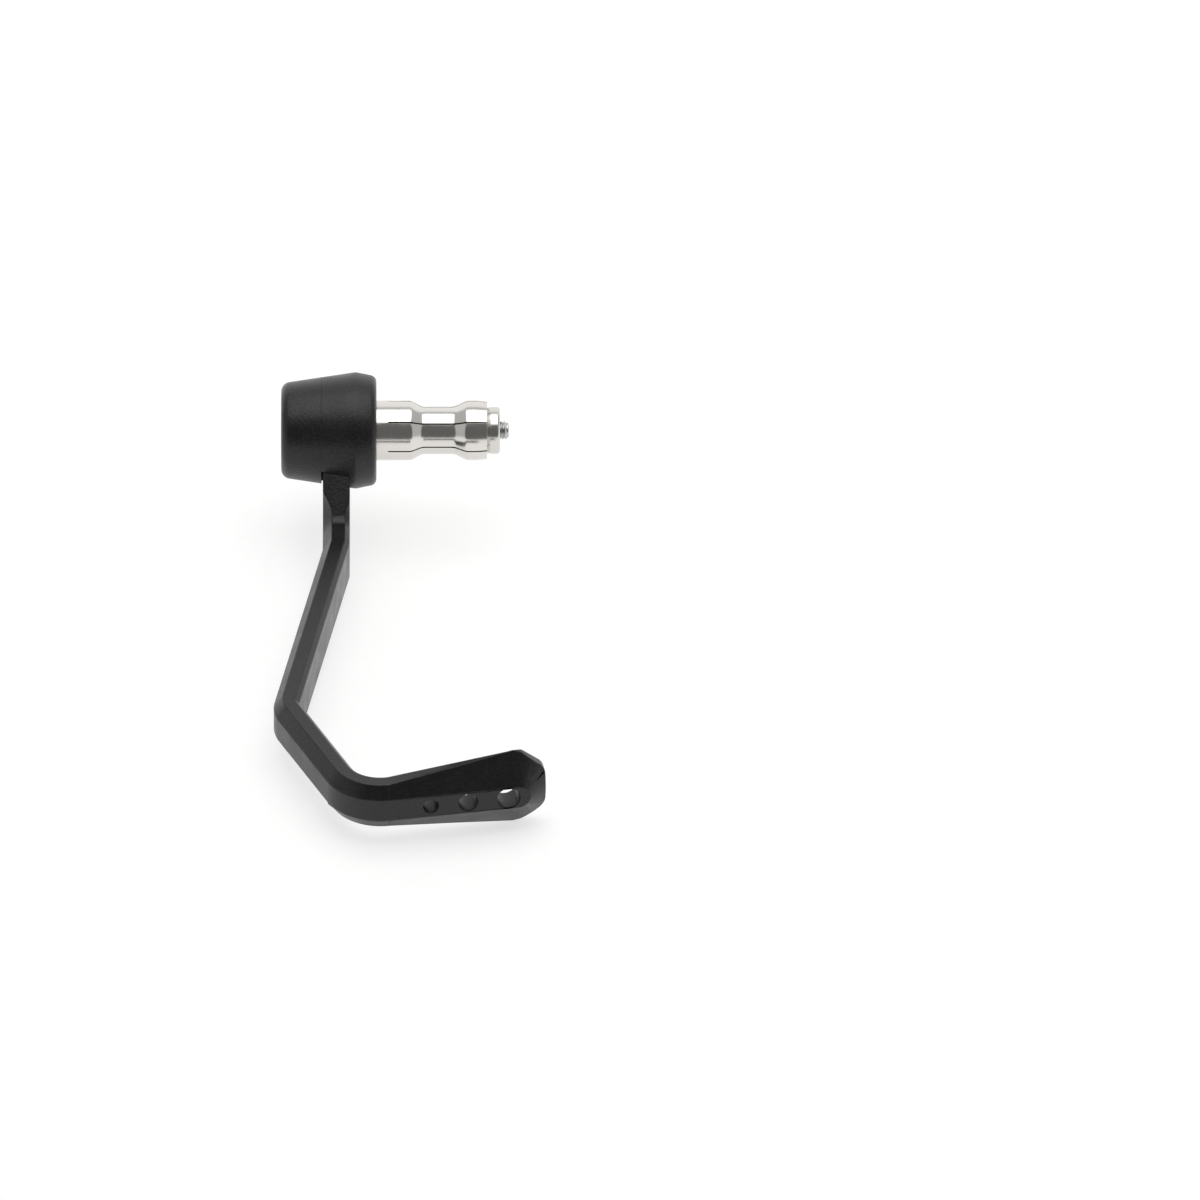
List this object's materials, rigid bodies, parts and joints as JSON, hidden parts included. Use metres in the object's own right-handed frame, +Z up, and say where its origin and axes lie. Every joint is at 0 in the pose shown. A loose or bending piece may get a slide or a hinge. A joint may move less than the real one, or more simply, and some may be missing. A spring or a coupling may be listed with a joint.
{
  "type": "brake lever guard",
  "caption": "Bent bar-end guard arm that shields a brake lever, clamped in a tapered bobbin and held in the handlebar bore by a split expander sleeve.",
  "frame": {"origin": "bar axis at the bobbin's inner face, which seats on the end of the grip", "axes": "+X inward along the bar, +Y rearward, +Z up; the arm reaches forward, towards -Y"},
  "size_m": [0.0706, 0.1582, 0.046],
  "materials": {
    "bobbin": "fine moulded grain, satin",
    "arm": "fine moulded grain, satin",
    "sleeve": "turned, bright",
    "nut": "turned, bright",
    "bolt": "zinc plated"
  },
  "bodies": {
    "root": {"outer_cap": "bobbin", "inner_bobbin": "bobbin", "guard_arm": "arm", "expander_sleeve": "sleeve", "cone_nut": "nut", "clamp_bolt": "bolt", "head_washer": "bolt"}
  },
  "joints": []
}
